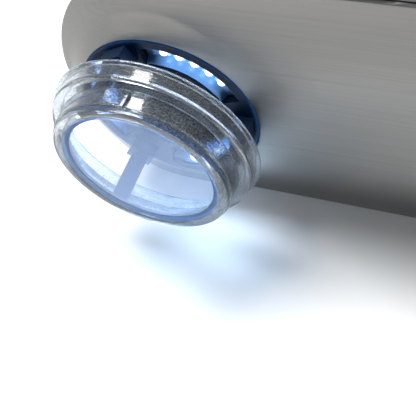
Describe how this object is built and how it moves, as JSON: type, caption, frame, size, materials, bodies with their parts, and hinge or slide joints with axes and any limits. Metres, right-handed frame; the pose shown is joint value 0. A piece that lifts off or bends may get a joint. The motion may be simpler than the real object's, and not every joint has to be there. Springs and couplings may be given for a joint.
{
  "type": "illuminated contact magnifier",
  "caption": "Pocket lit magnifier for skin: brushed slab body, round light ring and lens, pull-off clear spacer with contact glass, eyepiece behind, two push buttons.",
  "frame": {"origin": "on the optical axis, at the outer face of the contact glass", "axes": "+X along the body to its tail, +Y along the optical axis into the body and to the eye, +Z across the width, up when the unit stands on its long side"},
  "size_m": [0.112, 0.0326, 0.0379],
  "materials": {
    "brushed_plate": "brushed along the length, satin",
    "frame_black": "fine matte",
    "bezel_black": "gloss",
    "clear_polymer": "clear moulded polymer, part frosted",
    "window_glass": "coated, polished",
    "lens_glass": "polished",
    "analyser": "polarising film on glass",
    "seal_rubber": "smooth",
    "guard_rubber": "matte",
    "reflector": "bright",
    "led": "clear dome over a lit chip",
    "anodised_black": "black anodised",
    "steel": "bright",
    "magnet": "nickel plated",
    "board": "solder mask",
    "chip": "moulded",
    "flex": "polyimide film",
    "battery_wrap": "foil pouch",
    "foam": "closed-cell foam",
    "tape": "adhesive foam tape",
    "wire": "wire insulation",
    "button": "soft matte",
    "light_pipe": "diffusing"
  },
  "bodies": {
    "body": {"front_plate": "brushed_plate", "rear_plate": "brushed_plate", "front_plate_tape": "tape", "rear_plate_tape": "tape", "mid_frame": "frame_black", "led_bezel": "bezel_black", "bezel_magnets": "magnet", "reflector_trays": "reflector", "leds": "led", "led_board": "board", "analyser_disc": "analyser", "lens_barrel": "anodised_black", "barrel_screws": "steel", "objective_lens": "lens_glass", "objective_ring": "anodised_black", "lens_spacer_tube": "anodised_black", "eye_lens": "lens_glass", "eye_lens_ring": "anodised_black", "eyepiece_ring": "anodised_black", "eye_guard": "guard_rubber", "main_board": "board", "board_screws": "steel", "board_chips": "chip", "charging_socket": "steel", "battery": "battery_wrap", "battery_pad": "foam", "battery_leads": "wire", "led_ribbon": "flex", "switch_board": "board", "power_switch": "chip", "mode_switch": "chip", "charge_light": "light_pipe"},
    "spacer": {"spacer_ring": "clear_polymer", "grip_band": "clear_polymer", "contact_glass": "window_glass", "glass_seal": "seal_rubber", "spacer_legs": "bezel_black", "leg_magnets": "magnet"},
    "power_key": {"power_button": "button", "power_plunger": "steel"},
    "mode_key": {"mode_button": "button", "mode_plunger": "steel"}
  },
  "joints": [
    {"name": "spacer_pull", "type": "slide", "parent": "body", "child": "spacer", "axis": [0, -1, 0], "range_m": [0, 0.02]},
    {"name": "power_press", "type": "slide", "parent": "body", "child": "power_key", "axis": [0, 0, -1], "range_m": [0, 0.0005], "stiffness_N_per_m": 3000},
    {"name": "mode_press", "type": "slide", "parent": "body", "child": "mode_key", "axis": [0, 0, -1], "range_m": [0, 0.0005], "stiffness_N_per_m": 3000}
  ]
}
